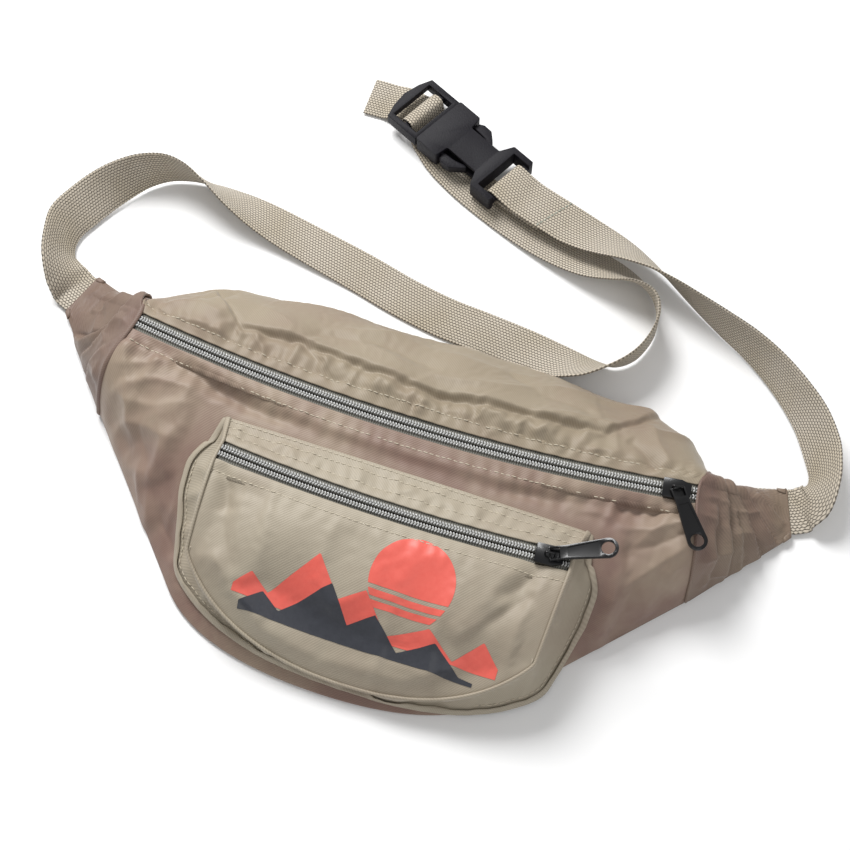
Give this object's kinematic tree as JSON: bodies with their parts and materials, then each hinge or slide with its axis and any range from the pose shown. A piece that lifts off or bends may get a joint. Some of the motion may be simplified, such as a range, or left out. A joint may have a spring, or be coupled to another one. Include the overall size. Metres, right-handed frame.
{
  "type": "waist pack",
  "caption": "Lens-shaped nylon waist pack lying on its back, with a zipped main compartment, a zipped front pocket, hip wings, a webbing belt and a side-release buckle.",
  "frame": {"origin": "middle of the back panel's outer face, which lies on the table", "axes": "+X to the bag's right-hand wing as seen from the front, +Y to the top of the bag, +Z out through the front; the bag lies on its back with its belt laid out above it"},
  "size_m": [0.4465, 0.3568, 0.0532],
  "materials": {
    "bag_fabric": "twilled taupe nylon",
    "pocket_fabric": "twilled taupe nylon",
    "binding": "woven binding tape",
    "webbing": "beige woven webbing",
    "zip_tape": "woven grey tape",
    "zip_coil": "grey nylon coil",
    "zip_metal": "gloss black enamel",
    "buckle_plastic": "matt black acetal"
  },
  "bodies": {
    "bag": {"back_panel": "bag_fabric", "front_panel": "bag_fabric", "top_panel": "bag_fabric", "seam_binding": "binding", "right_wing_front": "bag_fabric", "right_wing_back": "bag_fabric", "left_wing_front": "bag_fabric", "left_wing_back": "bag_fabric", "main_tape_lower": "zip_tape", "main_tape_upper": "zip_tape", "main_coil_lower": "zip_coil", "main_coil_upper": "zip_coil", "pocket_panel": "pocket_fabric", "pocket_gusset": "pocket_fabric", "pocket_top_band": "pocket_fabric", "pocket_tape_lower": "zip_tape", "pocket_tape_upper": "zip_tape", "pocket_coil_lower": "zip_coil", "pocket_coil_upper": "zip_coil", "belt_long": "webbing", "belt_short": "webbing", "belt_sewn_loop": "webbing", "buckle_female": "buckle_plastic"},
    "main_slider": {"main_slider": "zip_metal", "main_slider_bail": "zip_metal"},
    "main_pull": {"main_pull": "zip_metal"},
    "pocket_slider": {"pocket_slider": "zip_metal", "pocket_slider_bail": "zip_metal"},
    "pocket_pull": {"pocket_pull": "zip_metal"},
    "buckle_male": {"buckle_male": "buckle_plastic", "belt_tail": "webbing"},
    "buckle_arm_left": {"buckle_arm_left": "buckle_plastic"},
    "buckle_arm_right": {"buckle_arm_right": "buckle_plastic"}
  },
  "joints": [
    {"name": "main_zip", "type": "hinge", "parent": "bag", "child": "main_slider", "pos_m": [0, 1.03788, 0.04], "axis": [0, 0, -1], "range_deg": [0, 15.8]},
    {"name": "main_pull_swing", "type": "hinge", "parent": "main_slider", "child": "main_pull", "pos_m": [0.1386, 0.03958, 0.04445], "axis": [-0.81, -0.5864, 0], "range_deg": [0, 140]},
    {"name": "pocket_zip", "type": "hinge", "parent": "bag", "child": "pocket_slider", "pos_m": [0.01, 0.997, 0.042], "axis": [0, 0, -1], "range_deg": [0, 9]},
    {"name": "pocket_pull_swing", "type": "hinge", "parent": "pocket_slider", "child": "pocket_pull", "pos_m": [0.09004, -0.01434, 0.04645], "axis": [0.3669, -0.9303, 0], "range_deg": [0, 140]},
    {"name": "buckle_release", "type": "slide", "parent": "bag", "child": "buckle_male", "axis": [-0.8934, 0.4493, 0], "range_m": [0, 0.05], "deforming": ["buckle_arm_left", "buckle_arm_right"]},
    {"name": "left_arm_squeeze", "type": "hinge", "parent": "buckle_male", "child": "buckle_arm_left", "pos_m": [-0.05462, 0.21635, 0.0092], "axis": [0, 0, 1], "range_deg": [0, 7], "stiffness_Nm_per_rad": 1.5},
    {"name": "right_arm_squeeze", "type": "hinge", "parent": "buckle_male", "child": "buckle_arm_right", "pos_m": [-0.04308, 0.23931, 0.0092], "axis": [0, 0, -1], "range_deg": [0, 7], "stiffness_Nm_per_rad": 1.5}
  ]
}
